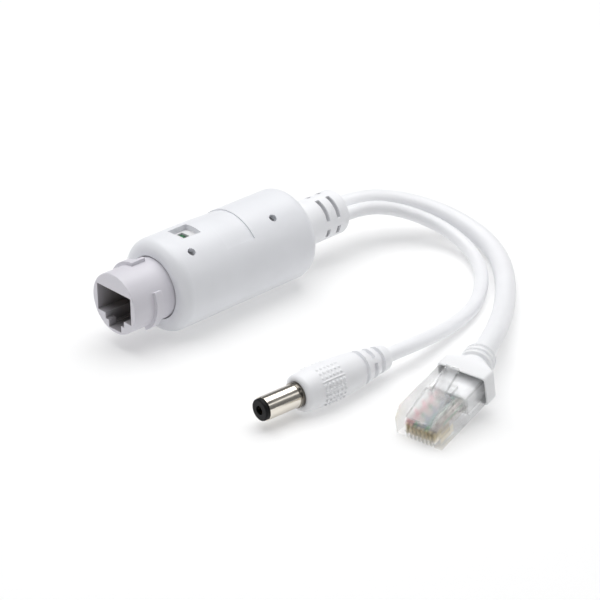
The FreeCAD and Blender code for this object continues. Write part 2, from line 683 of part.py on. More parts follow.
def grip_radius(x):
    """The grip's radius at a distance from the tip, between the profile's points."""
    for (x0, r0), (x1, r1) in zip(GRIP_PROFILE, GRIP_PROFILE[1:]):
        if x0 <= x <= x1:
            return r0 + (r1 - r0) * (x - x0) / (x1 - x0)
    raise ValueError("outside the grip")


# ---- 8P8C plug --------------------------------------------------------------------
def plug_frame():
    """The modular plug's placement, nose down."""
    turn = FreeCAD.Rotation(Vector(0, 0, 1), PLUG_YAW)
    tilt = FreeCAD.Rotation(Vector(0, 1, 0), -PLUG_PITCH)
    return FreeCAD.Placement(Vector(*PLUG_BASE), turn.multiply(tilt))


def side_profile(points, half_width):
    """A profile in the XZ plane, extruded across the plug."""
    corners = [Vector(x, -half_width, z) for x, z in points]
    face = Part.Face(Part.makePolygon(corners + [corners[0]]))
    return face.extrude(Vector(0, 2 * half_width, 0))


def plug_body():
    """The clear body: contact slots, conductor duct, cord pocket and latch recess."""
    half = PLUG_W / 2
    body = side_profile([(0, 0), (PLUG_L, 0), (PLUG_L, PLUG_H), (NOSE_RUN, PLUG_H), (0, NOSE_H)],
                        half)
    for x, half_width, z in (POCKET, DUCT):
        body = body.cut(box(x, (-half_width, half_width), z))
    for y in contact_rows():
        slot = (y - SLOT_W / 2, y + SLOT_W / 2)
        body = body.cut(box((-1, BLADE_X[1]), slot, (-1, SLOT_DEPTH)))
        body = body.cut(box(BLADE_X, (y - BLADE_T / 2, y + BLADE_T / 2), BLADE_Z))
        body = body.cut(rod((WIRES_X[0], WIRES_X[1] + 0.1), CONDUCTOR_D / 2, y, CONDUCTOR_Z))
    for x, width, floor in LATCH_ROOMS:
        body = body.cut(box(x, (-width / 2, width / 2), (floor, PLUG_H + 1)))
    return body


def plug_blades():
    """Eight gold contact blades at the nose."""
    blades = []
    for y in contact_rows():
        blades.append(box(BLADE_X, (y - BLADE_T / 2, y + BLADE_T / 2), BLADE_Z))
    return blades


def plug_conductors():
    """The insulated conductors in the duct, in contact order from +Y to -Y."""
    wires = []
    for y in contact_rows():
        wire = rod(WIRES_X, CONDUCTOR_D / 2, y, CONDUCTOR_Z)
        blade = box(BLADE_X, (y - BLADE_T / 2, y + BLADE_T / 2), BLADE_Z)
        wires.append(wire.cut(blade))
    return wires[::-1]


def cord_end():
    """The cord's jacket, pressed flat where it enters the plug."""
    x, half, z = CORD_END
    flat = box(x, (-half, half), z)
    along = []
    for edge in flat.Edges:
        a, b = edge.Vertexes
        if abs(a.Y - b.Y) < 1e-6 and abs(a.Z - b.Z) < 1e-6:
            along.append(edge)
    return flat.makeFillet(CORD_END_ROUND, along)


def plug_latch():
    """The latch: a wide root with shoulders and a narrow release tail."""
    half = LATCH_T / 2
    across = Vector(0, 1, 0)
    pieces = []
    start = Vector(LATCH_ROOT[0], 0, LATCH_ROOT[1])
    for slope, length, width in zip(LATCH_SLOPES, LATCH_LENGTHS, (LATCH_WIDE, LATCH_NARROW)):
        edge = start - across * (width / 2)
        arm = Part.makeBox(length, width, LATCH_T, edge - Vector(0, 0, half))
        arm.rotate(start, across, -slope)
        pieces.append(arm)
        pieces.append(Part.makeCylinder(half, width, edge, across))
        run = math.radians(slope)
        start = start + Vector(length * math.cos(run), 0, length * math.sin(run))
    return fuse(pieces)


def ring_section(x, half_y, z, corner):
    """A rectangle with cut corners across the plug at one x."""
    (low, high) = z
    c = corner
    spots = [(-half_y + c, low), (half_y - c, low), (half_y, low + c), (half_y, high - c),
             (half_y - c, high), (-half_y + c, high), (-half_y, high - c), (-half_y, low + c)]
    corners = [Vector(x, y, h) for y, h in spots]
    return Part.makePolygon(corners + [corners[0]])


def plug_boot():
    """The boot: a hood over the plug's rear that tapers into a ringed neck."""
    half = PLUG_W / 2 + BOOT_MARGIN
    height = (-BOOT_MARGIN, PLUG_H + BOOT_MARGIN)
    front = ring_section(BOOT_X[0], half, height, BOOT_CORNERS[0])
    middle = ring_section(BOOT_X[1], half, height, BOOT_CORNERS[0])
    back = ring_section(BOOT_X[2], BOOT_BACK[0], BOOT_BACK[1], BOOT_CORNERS[1])
    hood = Part.makeLoft([front, middle], True, True)
    taper = Part.makeLoft([middle, back], True, True)
    pocket = box((BOOT_X[0] - 1, PLUG_L), (-PLUG_W / 2, PLUG_W / 2), (0.0, PLUG_H))
    placed({"boot": [hood, taper, pocket]}, plug_frame())
    end = Vector(*ETHERNET_ROUTE[-1])
    out = (Vector(*ETHERNET_ROUTE[-2]) - end).normalize()
    root = end - out * NECK_LENGTH
    neck = Part.makeCone(NECK_R[0], NECK_R[1], NECK_LENGTH, root, out)
    boot = fuse([hood, taper, neck])
    for groove in NECK_RINGS:
        place = end - out * (groove + NECK_RING_W / 2)
        ring = Part.makeCylinder(NECK_R[0] + CUTTER_SPARE, NECK_RING_W, place, out)
        boot = boot.cut(ring.cut(Part.makeCylinder(NECK_RING_R, NECK_RING_W, place, out)))
    return boot.cut(pocket)


def modular_plug():
    """Every piece of the modular plug where it lies."""
    wires = plug_conductors()
    pieces = {"rj45_plug_body": [plug_body()], "rj45_plug_contacts": plug_blades(),
              "rj45_plug_latch": [plug_latch()], "rj45_cord_end": [cord_end()],
              "rj45_wire_pair_orange": wires[0:2],
              "rj45_wire_pair_green": [wires[2], wires[5]],
              "rj45_wire_pair_blue": wires[3:5],
              "rj45_wire_pair_brown": wires[6:8]}
    placed(pieces, plug_frame())
    pieces["rj45_plug_boot"] = [plug_boot()]
    return pieces


# ---- build ------------------------------------------------------------------------
def main():
    save("outer_jacket", outer_jacket())
    top, bottom = inner_shells()
    save("inner_shell_top", top)
    save("inner_shell_bottom", bottom)
    save("jack_housing", jack_housing())
    save("jack_contact_carrier", jack_contact_carrier())
    save("jack_contact_tails", jack_contact_tails())
    save("jack_contact_springs", jack_contact_springs())
    save("main_board", main_board())
    save("lamp_board", lamp_board())
    save("header_pins", header_pins())
    save("status_led", status_led())
    save("lan_magnetics", gull_wing(*MAGNETICS))
    core, bobbin, winding = transformer()
    save("transformer_core", core)
    save("transformer_bobbin", bobbin)
    save("transformer_winding", winding)
    save("bridge_rectifiers", [gull_wing(*bridge) for bridge in BRIDGES])
    save("pd_controller_chip", gull_wing(*CONTROLLER))
    save("converter_chip", gull_wing(*CONVERTER))
    save("rectifier_diode", box(DIODE_X, (-DIODE_HALF_W, DIODE_HALF_W),
                                (DIODE_BOTTOM_Z, BOARD_Z[0])))
    save("output_capacitor", capacitor())
    save("output_inductor", inductor())
    save("chip_parts", chip_parts())
    save("cable_strain_relief", cable_strain_relief())
    data, power = cord_leads()
    save("data_leads", data)
    save("power_leads", power)
    save("ethernet_cord", tube(ETHERNET_ROUTE, ETHERNET_D, "ethernet_cord"))
    save("dc_cord", tube(DC_ROUTE, DC_D, "dc_cord"))
    for name, solids in dc_plug().items():
        save(name, solids)
    for name, solids in modular_plug().items():
        save(name, solids)


main()
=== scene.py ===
import json
import math

import bmesh
import bpy
from mathutils import Matrix, Vector


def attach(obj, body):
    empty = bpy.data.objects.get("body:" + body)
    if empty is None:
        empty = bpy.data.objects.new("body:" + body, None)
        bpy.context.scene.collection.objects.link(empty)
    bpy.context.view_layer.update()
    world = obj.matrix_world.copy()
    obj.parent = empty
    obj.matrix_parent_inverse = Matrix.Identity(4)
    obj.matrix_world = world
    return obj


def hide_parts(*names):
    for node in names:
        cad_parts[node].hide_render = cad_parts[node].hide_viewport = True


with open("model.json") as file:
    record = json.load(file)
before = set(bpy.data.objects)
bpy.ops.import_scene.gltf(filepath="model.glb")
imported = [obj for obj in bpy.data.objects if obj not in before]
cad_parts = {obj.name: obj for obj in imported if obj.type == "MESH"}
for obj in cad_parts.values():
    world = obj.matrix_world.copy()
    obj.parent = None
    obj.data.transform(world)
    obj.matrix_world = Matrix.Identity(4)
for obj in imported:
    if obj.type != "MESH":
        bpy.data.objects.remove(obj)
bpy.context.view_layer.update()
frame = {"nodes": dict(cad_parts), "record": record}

# The looks of an in-line PoE splitter.  Everything is in metres in the CAD model's frame:
# +X runs from the modular jack to the cords, +Z is up, and the floor is at z 0.
MM = 0.001
NODES = frame["nodes"]
ROOT = "unit"

# ---- where things are, in millimetres ------------------------------------------------
AXIS_Z = 11.6                        # height of the body's axis
ETHERNET_D = 5.1
DC_D = 3.5
ETHERNET_ROUTE = [
    (36.0, 1.9, 11.0), (46.0, 1.9, 11.0), (56.6, -2.8, 8.9), (63.6, -11.8, 6.0),
    (64.7, -23.2, 3.7), (60.2, -34.2, 2.7), (50.0, -45.3, 2.6), (38.2, -54.6, 3.4),
    (27.4, -61.8, 5.6), (19.0, -67.2, 8.0), (10.1, -71.4, 8.1)]
DC_ROUTE = [
    (36.0, -2.5, 11.0), (44.0, -2.5, 11.0), (53.2, -6.6, 8.6), (58.7, -15.2, 5.4),
    (58.2, -25.5, 3.0), (52.3, -35.3, 2.0), (43.8, -42.6, 1.8), (35.2, -47.4, 1.8),
    (25.6, -49.9, 2.2), (16.7, -51.6, 3.4), (7.8, -52.8, 4.77), (-0.4, -52.21, 4.77)]

# DC plug: distances from its tip along its axis
DC_PLUG_LENGTH = 36.7
COLLAR_START = 9.6
GRIP_START = 10.7
GRIP_PROFILE = [(11.75, 4.42), (14.6, 4.70), (18.6, 4.75), (22.6, 4.62), (25.6, 4.40),
                (28.9, 4.00), (31.6, 3.57), (34.6, 3.15), (36.0, 2.93)]
GRIP_FACE_R = 3.35
GRIP_LIFT = 4.76                     # the grip's axis above the floor
GRIP_BORE_R = 2.95
GRIP_END_R = 2.3
GRIP_RINGS = (28.2, 33.5)
GRIP_SPLIT_RING = 31.0
GRIP_RING_W = 1.15
GRIP_RING_DEPTH = 0.95
GRIP_RING_EDGE = 0.05                # half width of a groove's sloping side
GRIP_BRIDGE_ANGLE = 52.0             # from up towards the -Y side, and opposite
GRIP_BRIDGE_SPAN = (9.0, 13.0)       # a bridge's half angle, and where the groove is full
RIDGE_H = 0.16
RIDGE_HALF_W = (0.06, 0.22)          # at its top and at its foot
RIDGE_PAST_DOTS = (0.3, 0.6)         # its full height and its end, beyond the dots' middles
DOT_T = (15.45, 20.85)
DOTS_IN_ROW = 6
DOT_ROWS_ABOVE = (10.5, 25.5, 40.5)  # degrees from the ridge
DOT_ROWS_BELOW = (10.5, 25.5, 40.5, 56.0, 71.5)
DOT_R = 0.42
DOT_TOP_R = 0.4 * DOT_R
DOT_H_ABOVE = 0.17
DOT_H_BELOW = 0.42
GRIP_SEGMENTS = 288
GRIP_END_STEPS = 12                  # stations in the rounding of each end
GRIP_DOT_STEP = 0.09
GRIP_PLAIN_STEP = 0.35
GRIP_CLOSEST = 0.012
GROOVE_STATIONS = (-0.07, -0.05, -0.025, 0.0, 0.025, 0.05, 0.07, 0.16)

# 8P8C plug: its own frame has the nose-bottom middle at its origin
PLUG_BASE = (-16.0, -77.3, 0.02)
PLUG_YAW = 7.8
PLUG_PITCH = 12.0
PLUG_W = 11.68
PLUG_L = 20.4
PLUG_H = 6.65
CONTACT_PITCH = 1.02

# where painted shade darkens a finish, by its place
CAVITY_R = 7.15
CAVITY_X = (-35.95, -31.5)           # from the mouth to where it is darkest
CAVITY_SHADE_SHARES = (0.34, 0.71)
JACK_RIM_X = -35.97
SLOT_FLOOR_R = 5.35
RELIEF_FACE_X = 34.0
SLOT_FLOOR_SHADE_SHARE = 0.35
PIN_HOLE_SHELL_Z = 20.6
PIN_HOLE_SHADE_SHARE = 0.75
COLLAR_BLEND = (-0.2, 0.1)           # about the band's start
COLLAR_SHADE_SHARE = 0.9

SHARP_ANGLE = 50.0                   # edges that turn more than this many degrees are sharp


def metres(points):
    """Points given in millimetres, as vectors in metres."""
    return [Vector(p) * MM for p in points]


def dc_plug_matrix():
    """From the DC plug's own millimetres to the row frame's metres."""
    end, before = Vector(DC_ROUTE[-1]), Vector(DC_ROUTE[-2])
    x_axis = (before - end).normalized()
    y_axis = Vector((0, 0, 1)).cross(x_axis).normalized()
    z_axis = x_axis.cross(y_axis)
    turn = Matrix((x_axis, y_axis, z_axis)).transposed().to_4x4()
    tip = end - x_axis * DC_PLUG_LENGTH
    return Matrix.Scale(MM, 4) @ Matrix.Translation(tip) @ turn


def plug_matrix():
    """From the modular plug's own millimetres to the row frame's metres."""
    turn = Matrix.Rotation(math.radians(PLUG_YAW), 4, "Z")
    tilt = Matrix.Rotation(math.radians(-PLUG_PITCH), 4, "Y")
    return Matrix.Scale(MM, 4) @ Matrix.Translation(Vector(PLUG_BASE)) @ turn @ tilt


# ---- materials -------------------------------------------------------------------------
NOISE_MIDDLE = (0.3, 0.7)
ROUGHNESS_SWING = 0.05
BUMP_STRENGTH = 0.5


def new_material(name):
    """A material with an empty Principled shader; returns it with its tree and shader."""
    material = bpy.data.materials.new(name)
    material.use_nodes = True
    tree = material.node_tree
    tree.nodes.clear()
    output = tree.nodes.new("ShaderNodeOutputMaterial")
    shader = tree.nodes.new("ShaderNodeBsdfPrincipled")
    tree.links.new(shader.outputs["BSDF"], output.inputs["Surface"])
    return material, tree, shader


def coordinates(tree, kind, stretch):
    """Object or UV coordinates, stretched along their axes."""
    source = tree.nodes.new("ShaderNodeTexCoord")
    mapping = tree.nodes.new("ShaderNodeMapping")
    mapping.inputs["Scale"].default_value = stretch
    tree.links.new(source.outputs[kind], mapping.inputs["Vector"])
    return mapping.outputs["Vector"]


def noise(tree, vector, size, detail):
    """A noise whose cells are about size long, in the coordinates' own unit."""
    node = tree.nodes.new("ShaderNodeTexNoise")
    node.inputs["Scale"].default_value = 1.0 / size
    node.inputs["Detail"].default_value = detail
    tree.links.new(vector, node.inputs["Vector"])
    return node.outputs["Fac"]


def ramp(tree, value, from_low, from_high, low, high):
    """A number mapped from one range to another, and held at its ends."""
    node = tree.nodes.new("ShaderNodeMapRange")
    for name, limit in (("From Min", from_low), ("From Max", from_high), ("To Min", low),
                        ("To Max", high)):
        node.inputs[name].default_value = limit
    tree.links.new(value, node.inputs["Value"])
    return node.outputs["Result"]


def spread(tree, value, low, high):
    """A noise value mapped from its middle range to low..high."""
    return ramp(tree, value, NOISE_MIDDLE[0], NOISE_MIDDLE[1], low, high)


def mixed(tree, share, first, second):
    """A colour between two, each a colour tuple or a socket."""
    node = tree.nodes.new("ShaderNodeMix")
    node.data_type = "RGBA"
    tree.links.new(share, node.inputs["Factor"])
    for name, colour in (("A", first), ("B", second)):
        socket = [s for s in node.inputs if s.name == name and s.type == "RGBA"][0]
        if isinstance(colour, tuple):
            socket.default_value = colour + (1.0,)
        else:
            tree.links.new(colour, socket)
    return [s for s in node.outputs if s.type == "RGBA"][0]


def shade(colour, factor):
    """A colour made lighter or darker."""
    return tuple(min(1.0, c * factor) for c in colour)


def finish(name, colour, roughness, grain, bump, variation=0.03, patch=0.006,
           coords="Object", stretch=(1, 1, 1), sockets=None):
    """A moulded, drawn or plated finish: slow colour patches, and a fine grain in its
    roughness and surface.  Grain and patch are sizes in metres."""
    material, tree, shader = new_material(name)
    vector = coordinates(tree, coords, stretch)
    slow = noise(tree, vector, patch, 2.0)
    fine = noise(tree, vector, grain, 5.0)
    tint = mixed(tree, spread(tree, slow, 0.0, 1.0), shade(colour, 1.0 - variation),
                 shade(colour, 1.0 + variation))
    tree.links.new(tint, shader.inputs["Base Color"])
    tree.links.new(spread(tree, fine, roughness - ROUGHNESS_SWING,
                          roughness + ROUGHNESS_SWING), shader.inputs["Roughness"])
    relief = tree.nodes.new("ShaderNodeBump")
    relief.inputs["Strength"].default_value = BUMP_STRENGTH
    relief.inputs["Distance"].default_value = bump
    tree.links.new(fine, relief.inputs["Height"])
    tree.links.new(relief.outputs["Normal"], shader.inputs["Normal"])
    for socket, value in (sockets or {}).items():
        shader.inputs[socket].default_value = value
    return material


def calculate(tree, operation, first, second):
    """One number from two, each a number or a socket."""
    node = tree.nodes.new("ShaderNodeMath")
    node.operation = operation
    for socket, value in zip(node.inputs, (first, second)):
        if isinstance(value, float):
            socket.default_value = value
        else:
            tree.links.new(value, socket)
    return node.outputs["Value"]


def distance_along(tree, place, direction):
    """How far a place is along a direction."""
    node = tree.nodes.new("ShaderNodeVectorMath")
    node.operation = "DOT_PRODUCT"
    node.inputs[1].default_value = direction
    tree.links.new(place, node.inputs[0])
    return node.outputs["Value"]


def paint_shade_by_place(material, shade_share_of, colour):
    """Paint shade onto a finish: blend it towards a darker colour, by a share worked out from
    its place.
    """
    tree = material.node_tree
    base = [n for n in tree.nodes if n.type == "BSDF_PRINCIPLED"][0].inputs["Base Color"]
    before = base.links[0].from_socket
    place = tree.nodes.new("ShaderNodeTexCoord").outputs["Object"]
    tree.links.new(mixed(tree, shade_share_of(tree, place), before, colour), base)


def within_radius(tree, place, radius):
    """1 nearer to the body's axis than a radius and 0 outside it, and the place's X."""
    parts = tree.nodes.new("ShaderNodeSeparateXYZ")
    tree.links.new(place, parts.inputs["Vector"])
    height = calculate(tree, "SUBTRACT", parts.outputs["Z"], AXIS_Z * MM)
    squares = calculate(tree, "ADD",
                        calculate(tree, "MULTIPLY", parts.outputs["Y"], parts.outputs["Y"]),
                        calculate(tree, "MULTIPLY", height, height))
    inside = calculate(tree, "LESS_THAN", squares, (radius * MM) ** 2)
    return inside, parts.outputs["X"]


def cavity_painted_shade(tree, place):
    """Painted shade in the jack's cavity: little at its mouth, and more further in."""
    inside, x = within_radius(tree, place, CAVITY_R)
    deep = ramp(tree, x, CAVITY_X[0] * MM, CAVITY_X[1] * MM, *CAVITY_SHADE_SHARES)
    past_rim = calculate(tree, "GREATER_THAN", x, JACK_RIM_X * MM)
    return calculate(tree, "MULTIPLY", calculate(tree, "MULTIPLY", inside, past_rim), deep)


def slot_painted_shade(tree, place):
    """Painted shade on the floors of the strain relief's slots, which makes them darker than
    its skin.
    """
    inside, x = within_radius(tree, place, SLOT_FLOOR_R)
    before_end = calculate(tree, "LESS_THAN", x, RELIEF_FACE_X * MM)
    return calculate(tree, "MULTIPLY", calculate(tree, "MULTIPLY", inside, before_end),
                     SLOT_FLOOR_SHADE_SHARE)


def pin_hole_painted_shade(tree, place):
    """Painted shade at the bottom of the mould-pin holes: the shell is darker there than in the
    window.
    """
    parts = tree.nodes.new("ShaderNodeSeparateXYZ")
    tree.links.new(place, parts.inputs["Vector"])
    low = calculate(tree, "LESS_THAN", parts.outputs["Z"], PIN_HOLE_SHELL_Z * MM)
    return calculate(tree, "MULTIPLY", low, PIN_HOLE_SHADE_SHARE)


def collar_painted_shade(tree, place):
    """Painted shade on the band of the DC barrel next to its grip, which stands in for the dark
    reflection of the grip's shaded face and makes the band darker than its front.
    """
    to_row = dc_plug_matrix()
    along = to_row.to_3x3().col[0].normalized()
    start = along.dot(to_row @ Vector((COLLAR_START, 0, 0)))
    return ramp(tree, distance_along(tree, place, along), start + COLLAR_BLEND[0] * MM,
                start + COLLAR_BLEND[1] * MM, 0.0, COLLAR_SHADE_SHARE)


WHITE = (0.83, 0.84, 0.87)
SOFT_WHITE = (0.90, 0.905, 0.925)
WIRE_WHITE = (0.86, 0.83, 0.80)
WIRE_BANDS_SCALE = 110.0
WIRE_BANDS_DISTORTION = 0.4
WIRE_BAND_FROM = 0.72                # the wave's value above which a band has its colour
WIRE_ROUGHNESS = 0.38


def wire_finish(name, solid, divide_y):
    """A wire pair: the plain wire on one side of divide_y, its white partner on the other."""
    material, tree, shader = new_material(name)
    place = tree.nodes.new("ShaderNodeTexCoord").outputs["Object"]
    across = plug_matrix().to_3x3().col[1].normalized()
    divide = across.dot(Vector(PLUG_BASE)) * MM + divide_y * MM
    side = calculate(tree, "GREATER_THAN", distance_along(tree, place, across), divide)
    bands = tree.nodes.new("ShaderNodeTexWave")
    bands.inputs["Scale"].default_value = WIRE_BANDS_SCALE
    bands.inputs["Distortion"].default_value = WIRE_BANDS_DISTORTION
    tree.links.new(place, bands.inputs["Vector"])
    marks = calculate(tree, "GREATER_THAN", bands.outputs["Fac"], WIRE_BAND_FROM)
    striped = mixed(tree, marks, WIRE_WHITE, solid)
    tree.links.new(mixed(tree, side, solid, striped), shader.inputs["Base Color"])
    shader.inputs["Roughness"].default_value = WIRE_ROUGHNESS
    return material


def make_materials():
    """Every finish by name."""
    metal = {"Metallic": 1.0}
    made = {}

    def add(name, *look, **settings):
        made[name] = finish(name, *look, **settings)

    add("jacket_white", WHITE, 0.42, 0.00022, 0.000012, 0.01)
    add("shell_white", (0.74, 0.74, 0.75), 0.5, 0.0003, 0.00001)
    add("jack_grey", (0.70, 0.685, 0.735), 0.38, 0.0002, 0.000008, 0.015)
    add("carrier_grey", (0.10, 0.085, 0.08), 0.5, 0.0003, 0.00001)
    add("contact_gold", (0.88, 0.76, 0.50), 0.40, 0.0002, 0.000004, 0.06,
        sockets={"Metallic": 0.6})
    add("board_green", (0.02, 0.16, 0.06), 0.35, 0.0004, 0.00001, 0.12)
    add("header_tin", (0.72, 0.72, 0.70), 0.3, 0.0003, 0.000006, 0.05, sockets=metal)
    add("lamp_green", (0.035, 0.13, 0.06), 0.25, 0.0007, 0.00003, 0.7, 0.0012)
    add("chip_black", (0.02, 0.02, 0.022), 0.55, 0.00015, 0.000012)
    add("ferrite", (0.05, 0.05, 0.055), 0.65, 0.0003, 0.00002, 0.1)
    add("bobbin_amber", (0.30, 0.15, 0.04), 0.35, 0.0004, 0.00001)
    add("winding_copper", (0.72, 0.28, 0.12), 0.3, 0.0004, 0.00005, 0.08, stretch=(1, 1, 12),
        sockets=metal)
    add("capacitor_can", (0.75, 0.76, 0.78), 0.35, 0.0003, 0.000006, 0.03, sockets=metal)
    add("chip_ceramic", (0.45, 0.33, 0.20), 0.5, 0.0002, 0.00001, 0.1)
    add("relief_white", SOFT_WHITE, 0.48, 0.00025, 0.000014, 0.012)
    add("cord_white", SOFT_WHITE, 0.40, 0.03, 0.00002, 0.012, 0.3, "UV", (6.0, 1.0, 1.0))
    add("lead_mixed", (0.62, 0.30, 0.08), 0.4, 0.0004, 0.000008, 0.2)
    add("lead_red", (0.50, 0.02, 0.015), 0.4, 0.0004, 0.000008, 0.1)
    add("barrel_nickel", (0.80, 0.755, 0.68), 0.16, 0.0002, 0.000003, 0.03,
        stretch=(0.15, 1, 1), sockets=metal)
    add("grip_white", SOFT_WHITE, 0.42, 0.0002, 0.000012, 0.012)
    add("insulator_black", (0.008, 0.008, 0.009), 0.45, 0.0002, 0.000008, 0.1,
        sockets={"Specular IOR Level": 0.15})
    add("clear_plastic", (0.97, 0.975, 0.975), 0.05, 0.0009, 0.000001, 0.005,
        sockets={"Transmission Weight": 0.96, "IOR": 1.30, "Alpha": 0.50})
    add("boot_white", SOFT_WHITE, 0.46, 0.00022, 0.000014, 0.012,
        sockets={"Subsurface Weight": 0.4, "Subsurface Scale": 0.0015,
                 "Subsurface Radius": (1.0, 1.0, 1.0)})

    outer_pair_y = 3.0 * CONTACT_PITCH
    for name, solid, divide_y in (("wire_orange", (0.88, 0.52, 0.56), outer_pair_y),
                                  ("wire_green", (0.36, 0.58, 0.46), 0.0),
                                  ("wire_blue", (0.56, 0.60, 0.68), 0.0),
                                  ("wire_brown", (0.58, 0.53, 0.50), -outer_pair_y)):
        made[name] = wire_finish(name, solid, divide_y)
    # painted shade: darker colour in the jack's cavity, at the bottoms of the pin holes, on the
    # slot floors and on the barrel's band by the grip
    paint_shade_by_place(made["jack_grey"], cavity_painted_shade, (0.055, 0.044, 0.040))
    paint_shade_by_place(made["shell_white"], pin_hole_painted_shade, (0.22, 0.22, 0.23))
    paint_shade_by_place(made["relief_white"], slot_painted_shade, (0.36, 0.36, 0.38))
    paint_shade_by_place(made["barrel_nickel"], collar_painted_shade, (0.10, 0.09, 0.075))
    return made


def dress_cad_nodes(materials):
    """Give every CAD node the finish of its material slot."""
    for part in frame["record"]["subparts"]:
        node = NODES[part["node"]]
        for slot in node.material_slots:
            slot.material = materials[part["material_slot"]]


# ---- softened edges of CAD nodes ---------------------------------------------------------
EDGE_WIDTHS = {"jack_housing": 0.14, "rj45_plug_body": 0.10, "rj45_plug_latch": 0.08,
               "dc_plug_barrel": 0.06, "dc_plug_insulator": 0.05, "rj45_cord_end": 0.1,
               "inner_shell_top": 0.06}
WELD_DISTANCE = 0.002


def soften_edges():
    """Join the faces of some visible CAD nodes and round their sharp edges a little."""
    for name, width in EDGE_WIDTHS.items():
        node = NODES[name]
        weld = node.modifiers.new("weld", "WELD")
        weld.merge_threshold = WELD_DISTANCE * MM
        bevel = node.modifiers.new("bevel", "BEVEL")
        bevel.width = width * MM
        bevel.segments = 3
        bevel.limit_method = "ANGLE"
        bevel.angle_limit = math.radians(SHARP_ANGLE)
        normals = node.modifiers.new("normals", "WEIGHTED_NORMAL")
        normals.keep_sharp = True


# ---- cords -------------------------------------------------------------------------------
def cord_curve(name, route, diameter):
    """A round cord whose centreline is a NURBS spline with the route's points."""
    curve = bpy.data.curves.new(name, "CURVE")
    curve.dimensions = "3D"
    spline = curve.splines.new("NURBS")
    spline.points.add(len(route) - 1)
    for point, place in zip(spline.points, metres(route)):
        point.co = (*place, 1.0)
    spline.order_u = 3
    spline.use_endpoint_u = True
    spline.resolution_u = 16
    curve.bevel_depth = diameter * MM / 2
    curve.bevel_resolution = 12
    curve.use_fill_caps = True
    obj = bpy.data.objects.new(name, curve)
    bpy.context.scene.collection.objects.link(obj)
    return obj


def add_cords(materials):
    """Both cords, by name; each stands for the CAD's own."""
    cords = {}
    for name, route, diameter in (("ethernet_pigtail", ETHERNET_ROUTE, ETHERNET_D),
                                  ("dc_pigtail", DC_ROUTE, DC_D)):
        cord = cord_curve(name, route, diameter)
        cord.data.materials.append(materials["cord_white"])
        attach(cord, ROOT)
        cords[name] = cord
    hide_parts("ethernet_cord")
    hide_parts("dc_cord")
    return cords


# ---- DC plug grip ------------------------------------------------------------------------
def smooth_step(value, low, high):
    """0 at low, 1 at high, with a smooth change between."""
    share = min(1.0, max(0.0, (value - low) / (high - low)))
    return share * share * (3.0 - 2.0 * share)


def through(points, x):
    """A smooth curve through (x, y) points, by cubic pieces with shared slopes."""
    def slope(i):
        a, b = points[max(0, i - 1)], points[min(len(points) - 1, i + 1)]
        return (b[1] - a[1]) / (b[0] - a[0])

    i = 0
    while i < len(points) - 2 and x > points[i + 1][0]:
        i += 1
    (x0, y0), (x1, y1) = points[i], points[i + 1]
    run = x1 - x0
    t = (x - x0) / run
    return ((2 * t**3 - 3 * t**2 + 1) * y0 + (t**3 - 2 * t**2 + t) * run * slope(i)
            + (3 * t**2 - 2 * t**3) * y1 + (t**3 - t**2) * run * slope(i + 1))


def grip_outline_radius(t):
    """The grip's radius without its grooves, rounded at both ends."""
    first, last = GRIP_PROFILE[0], GRIP_PROFILE[-1]
    if t < first[0]:
        share = (first[0] - t) / (first[0] - GRIP_START)
        return GRIP_FACE_R + (first[1] - GRIP_FACE_R) * math.sqrt(1.0 - share**2)
    if t > last[0]:
        share = (t - last[0]) / (DC_PLUG_LENGTH - last[0])
        return GRIP_END_R + (last[1] - GRIP_END_R) * math.sqrt(1.0 - share**2)
    return through(GRIP_PROFILE, t)


def from_ridge(phi):
    """An angle measured from the nearer of the two ridges, from -90 to 90 degrees."""
    return (phi - GRIP_BRIDGE_ANGLE + 90.0) % 180.0 - 90.0


def groove_depth(t, phi):
    """How deep the ring grooves are at a place; the split ring has two bridges."""
    depth = 0.0
    half = GRIP_RING_W / 2
    for x in GRIP_RINGS + (GRIP_SPLIT_RING,):
        cut = 1.0 - smooth_step(abs(t - x), half - GRIP_RING_EDGE, half + GRIP_RING_EDGE)
        if x == GRIP_SPLIT_RING:
            cut *= smooth_step(abs(from_ridge(phi)), *GRIP_BRIDGE_SPAN)
        depth = max(depth, cut)
    return depth * GRIP_RING_DEPTH


def dot_height(t, phi, radius):
    """Raised dots in two patches, and the ridge between them, on both sides."""
    if not DOT_T[0] - 1 < t < DOT_T[1] + 1:
        return 0.0
    turn = from_ridge(phi)
    full, end = RIDGE_PAST_DOTS
    ridge_end = smooth_step(t, DOT_T[0] - end, DOT_T[0] - full)
    ridge_end *= 1.0 - smooth_step(t, DOT_T[1] + full, DOT_T[1] + end)
    across = math.radians(abs(turn)) * radius
    height = RIDGE_H * ridge_end * (1.0 - smooth_step(across, *RIDGE_HALF_W))
    pitch = (DOT_T[1] - DOT_T[0]) / (DOTS_IN_ROW - 1)
    nearest_t = DOT_T[0] + pitch * min(DOTS_IN_ROW - 1, max(0, round((t - DOT_T[0]) / pitch)))
    rows, rise = (DOT_ROWS_ABOVE, DOT_H_ABOVE) if turn < 0 else (DOT_ROWS_BELOW, DOT_H_BELOW)
    for angle in rows:
        away = math.hypot(t - nearest_t, math.radians(abs(turn) - angle) * radius)
        height = max(height, rise * (1.0 - smooth_step(away, DOT_TOP_R, DOT_R)))
    return height


